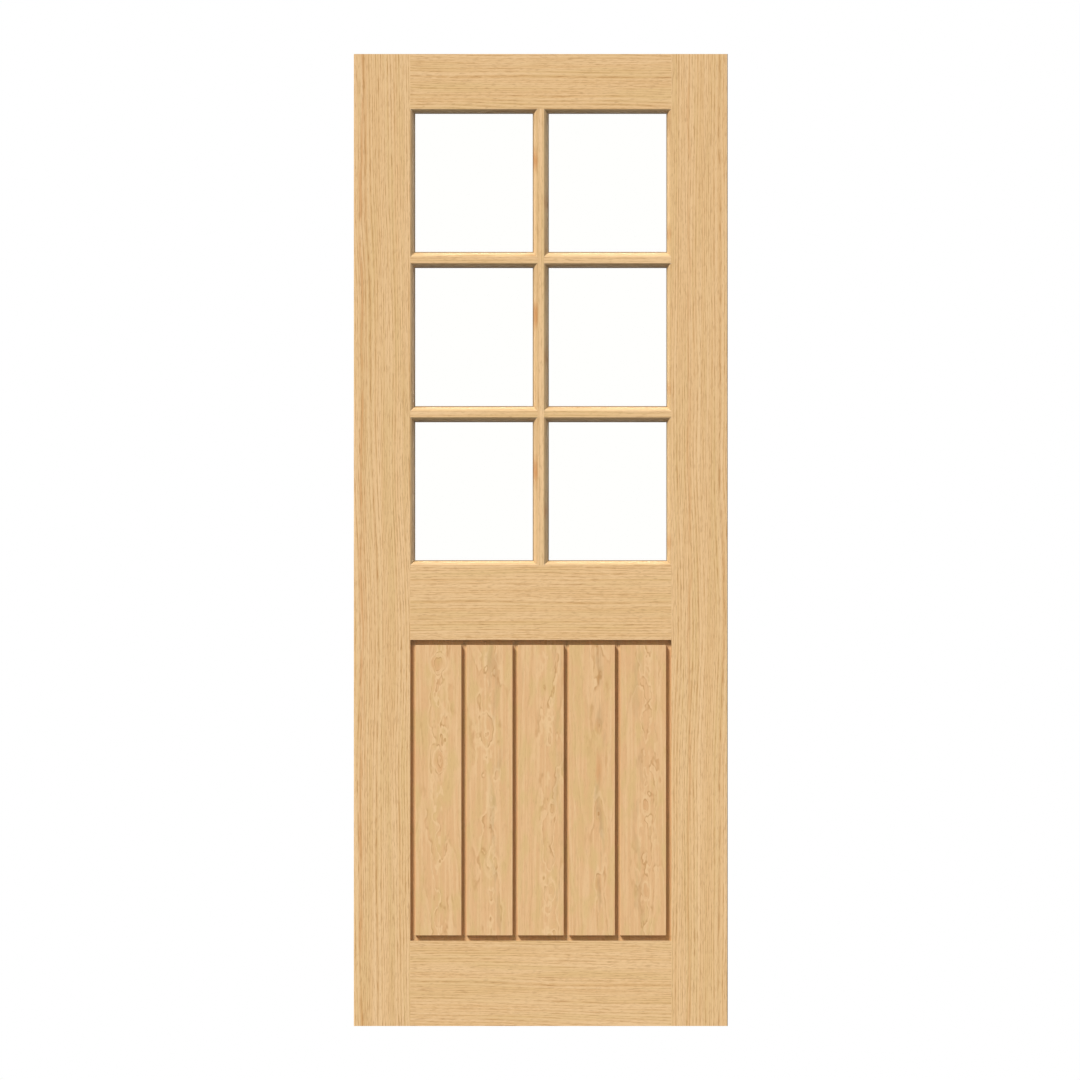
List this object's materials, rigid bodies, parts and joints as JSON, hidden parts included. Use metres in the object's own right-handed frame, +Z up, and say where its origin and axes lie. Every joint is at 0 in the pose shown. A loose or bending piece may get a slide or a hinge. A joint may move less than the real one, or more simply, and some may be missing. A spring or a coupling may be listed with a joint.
{
  "type": "half-glazed boarded door leaf",
  "caption": "Oak front door leaf with a glazed upper half divided by glazing bars and a lower panel of vertical boards with square channels between them.",
  "frame": {"origin": "middle of the leaf's bottom edge, half way through its thickness", "axes": "+X across the leaf to the right as seen from the front, +Y from the front face to the rear face, +Z up"},
  "size_m": [0.762, 0.044, 1.981],
  "materials": {
    "oak": "clear matt lacquer",
    "dowel_beech": "bare",
    "float_glass": "polished",
    "spacer_aluminium": "mill",
    "edge_sealant": "matt",
    "glazing_tape": "matt foam",
    "setting_block": "moulded"
  },
  "bodies": {
    "root": {"board_1": "oak", "board_2": "oak", "board_3": "oak", "board_4": "oak", "board_5": "oak", "bottom_rail": "oak", "dowels": "dowel_beech", "edge_seal_bottom_left": "edge_sealant", "edge_seal_bottom_right": "edge_sealant", "edge_seal_middle_left": "edge_sealant", "edge_seal_middle_right": "edge_sealant", "edge_seal_top_left": "edge_sealant", "edge_seal_top_right": "edge_sealant", "front_beads_bottom_left": "oak", "front_beads_bottom_right": "oak", "front_beads_middle_left": "oak", "front_beads_middle_right": "oak", "front_beads_top_left": "oak", "front_beads_top_right": "oak", "inner_glazing_tape": "glazing_tape", "inner_pane_bottom_left": "float_glass", "inner_pane_bottom_right": "float_glass", "inner_pane_middle_left": "float_glass", "inner_pane_middle_right": "float_glass", "inner_pane_top_left": "float_glass", "inner_pane_top_right": "float_glass", "left_stile": "oak", "lock_rail": "oak", "lower_cross_bar": "oak", "outer_glazing_tape": "glazing_tape", "outer_pane_bottom_left": "float_glass", "outer_pane_bottom_right": "float_glass", "outer_pane_middle_left": "float_glass", "outer_pane_middle_right": "float_glass", "outer_pane_top_left": "float_glass", "outer_pane_top_right": "float_glass", "rear_beads_bottom_left": "oak", "rear_beads_bottom_right": "oak", "rear_beads_middle_left": "oak", "rear_beads_middle_right": "oak", "rear_beads_top_left": "oak", "rear_beads_top_right": "oak", "right_stile": "oak", "setting_blocks": "setting_block", "spacer_bottom_left": "spacer_aluminium", "spacer_bottom_right": "spacer_aluminium", "spacer_middle_left": "spacer_aluminium", "spacer_middle_right": "spacer_aluminium", "spacer_top_left": "spacer_aluminium", "spacer_top_right": "spacer_aluminium", "top_rail": "oak", "upper_cross_bar": "oak", "vertical_bar": "oak"}
  },
  "joints": []
}
